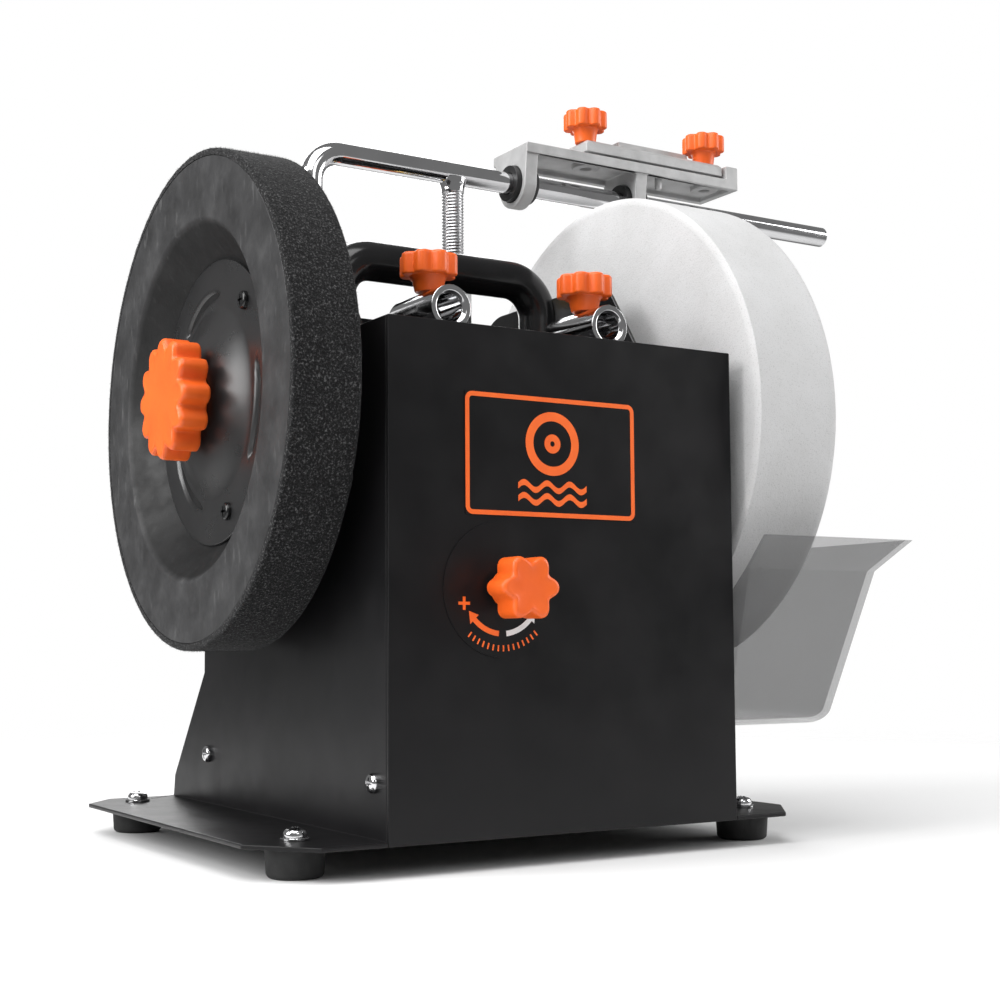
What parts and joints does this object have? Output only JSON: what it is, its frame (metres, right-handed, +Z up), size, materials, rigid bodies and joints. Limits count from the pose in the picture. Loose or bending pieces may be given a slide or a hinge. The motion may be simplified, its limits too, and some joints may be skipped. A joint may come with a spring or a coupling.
{
  "type": "wet grinding sharpener",
  "caption": "Motor-driven bench sharpener with a water-cooled stone on one side, a honing wheel on the other, a height-adjustable support bar and a clamping jig.",
  "frame": {"origin": "bottom centre of the whole machine's bounding box, on the bench under the feet", "axes": "+X towards the grinding stone and the support bar's free end, -Y towards the user (front panel), +Z up"},
  "size_m": [0.456, 0.274, 0.3992],
  "materials": {
    "black_coat": "satin black powder coat",
    "orange_plastic": "moulded, satin",
    "chrome_plate": "polished",
    "cast_alloy": "light grey cast, satin",
    "machined_steel": "turned",
    "stone_grit": "fine-grained, near white",
    "wheel_core": "mottled dark grey",
    "suede_band": "black suede",
    "black_rubber": "matt",
    "black_plastic": "satin",
    "clear_plastic": "smoky transparent",
    "copper_brown": "varnished windings and laminations",
    "brass_nut": "turned",
    "label_print": "printed label"
  },
  "bodies": {
    "housing": {"left_side_panel": "black_coat", "right_side_panel": "black_coat", "front_panel": "black_coat", "top_plate": "black_coat", "rear_cover": "black_coat", "base_plate": "black_coat", "support_carrier": "black_coat", "carry_handle": "black_coat", "front_sleeve_left": "chrome_plate", "front_sleeve_right": "chrome_plate", "rear_sleeve_left": "chrome_plate", "rear_sleeve_right": "chrome_plate", "shaft_bush_left": "black_plastic", "shaft_bush_right": "black_plastic", "pivot_brackets": "black_coat", "cradle_pivot_pin": "machined_steel", "torque_nut": "machined_steel", "capacitor": "black_plastic", "switch_body": "black_plastic", "cord_inlet": "black_rubber", "trough_screws": "machined_steel", "emblem_plate": "label_print", "torque_label": "label_print", "rubber_feet": "black_rubber", "foot_screws": "chrome_plate", "cover_screws": "machined_steel"},
    "drive_shaft": {"main_shaft": "machined_steel", "honing_wheel_body": "wheel_core", "honing_strop": "suede_band", "hub_disc": "black_coat", "hub_disc_screws": "black_coat", "drive_wheel": "black_plastic", "drive_tyre": "black_rubber", "grinding_wheel": "stone_grit", "wheel_washers": "machined_steel", "wheel_nut": "machined_steel"},
    "honing_knob": {"honing_knob": "orange_plastic"},
    "motor_cradle": {"motor_cradle": "machined_steel", "motor_housing": "machined_steel", "motor_end_caps": "cast_alloy", "motor_stator": "copper_brown"},
    "rotor": {"motor_rotor": "machined_steel", "motor_shaft": "machined_steel"},
    "thrust_pad": {"torque_thrust_pad": "black_plastic"},
    "torque_knob": {"torque_knob": "orange_plastic", "torque_stud": "machined_steel"},
    "support": {"support_bar": "chrome_plate", "threaded_leg": "chrome_plate"},
    "micro_nut": {"micro_adjust_nut": "brass_nut"},
    "jig_bushes": {"jig_bushes": "black_plastic"},
    "jig": {"jig_base": "cast_alloy"},
    "jig_clamp": {"jig_clamp_bar": "cast_alloy"},
    "jig_knob_left": {"jig_knob_left": "orange_plastic"},
    "jig_knob_right": {"jig_knob_right": "orange_plastic"},
    "front_lock_left": {"front_lock_knob_left": "orange_plastic"},
    "front_lock_right": {"front_lock_knob_right": "orange_plastic"},
    "rear_lock_left": {"rear_lock_knob_left": "orange_plastic"},
    "rear_lock_right": {"rear_lock_knob_right": "orange_plastic"},
    "rocker": {"switch_rocker": "black_plastic"},
    "trough": {"water_trough": "clear_plastic"}
  },
  "joints": [
    {"name": "wheel_spin", "type": "hinge", "parent": "housing", "child": "drive_shaft", "pos_m": [-0.07995, 0.0015, 0.2073], "axis": [1, 0, 0], "continuous": true},
    {"name": "motor_spin", "type": "hinge", "parent": "motor_cradle", "child": "rotor", "pos_m": [-0.07995, 0.0015, 0.13125], "axis": [1, 0, 0], "continuous": true},
    {"name": "cradle_tilt", "type": "hinge", "parent": "housing", "child": "motor_cradle", "pos_m": [-0.07995, -0.073, 0.163], "axis": [1, 0, 0], "range_deg": [-2.85, 0]},
    {"name": "torque_feed", "type": "slide", "parent": "housing", "child": "thrust_pad", "axis": [0, 1, 0], "range_m": [-0.0023, 0]},
    {"name": "torque_turn", "type": "hinge", "parent": "thrust_pad", "child": "torque_knob", "pos_m": [-0.11675, -0.113, 0.1182], "axis": [0, 1, 0], "range_deg": [-540, 0]},
    {"name": "honing_knob_turn", "type": "hinge", "parent": "drive_shaft", "child": "honing_knob", "pos_m": [-0.07995, 0.0015, 0.2073], "axis": [1, 0, 0], "range_deg": [0, 720]},
    {"name": "support_height", "type": "slide", "parent": "housing", "child": "support", "axis": [0, 0, 1], "range_m": [-0.012, 0.035]},
    {"name": "micro_nut_turn", "type": "hinge", "parent": "housing", "child": "micro_nut", "pos_m": [-0.04475, 0.0474, 0.013], "axis": [0, 0, 1], "range_deg": [-2469, 7201]},
    {"name": "jig_slide", "type": "slide", "parent": "support", "child": "jig_bushes", "axis": [1, 0, 0], "range_m": [-0.022, 0.07]},
    {"name": "jig_tilt", "type": "hinge", "parent": "jig_bushes", "child": "jig", "pos_m": [-0.07995, 0.0474, 0.3517], "axis": [1, 0, 0], "range_deg": [-25, 25]},
    {"name": "jig_clamp_lift", "type": "slide", "parent": "jig", "child": "jig_clamp", "axis": [0, 0, 1], "range_m": [-0.0015, 0.004]},
    {"name": "jig_knob_left_turn", "type": "hinge", "parent": "jig_clamp", "child": "jig_knob_left", "pos_m": [0.04155, 0.043, 0.013], "axis": [0, 0, 1], "range_deg": [0, 720]},
    {"name": "jig_knob_right_turn", "type": "hinge", "parent": "jig_clamp", "child": "jig_knob_right", "pos_m": [0.12855, 0.043, 0.013], "axis": [0, 0, 1], "range_deg": [0, 720]},
    {"name": "front_lock_left_turn", "type": "hinge", "parent": "housing", "child": "front_lock_left", "pos_m": [-0.13145, -0.077, 0.013], "axis": [0, 0, 1], "range_deg": [0, 540]},
    {"name": "front_lock_right_turn", "type": "hinge", "parent": "housing", "child": "front_lock_right", "pos_m": [-0.0462, -0.077, 0.013], "axis": [0, 0, 1], "range_deg": [0, 540]},
    {"name": "rear_lock_left_turn", "type": "hinge", "parent": "housing", "child": "rear_lock_left", "pos_m": [-0.13005, -0.113, 0.253], "axis": [0, 1, 0], "range_deg": [0, 540]},
    {"name": "rear_lock_right_turn", "type": "hinge", "parent": "housing", "child": "rear_lock_right", "pos_m": [-0.04475, -0.113, 0.253], "axis": [0, 1, 0], "range_deg": [0, 540]},
    {"name": "rocker_tilt", "type": "hinge", "parent": "housing", "child": "rocker", "pos_m": [-0.02495, 0.08375, 0.123], "axis": [1, 0, 0], "range_deg": [-8, 8]},
    {"name": "trough_drop", "type": "slide", "parent": "housing", "child": "trough", "axis": [0, 0, 1], "range_m": [-0.03, 0]}
  ],
  "couplings": [
    {"joint": "motor_spin", "follows": "wheel_spin", "ratio": -18},
    {"joint": "torque_turn", "follows": "cradle_tilt", "ratio": 187.66},
    {"joint": "torque_feed", "follows": "cradle_tilt", "m_per_rad": 0.0448},
    {"joint": "micro_nut_turn", "follows": "support_height", "rad_per_m": 3590.4}
  ]
}
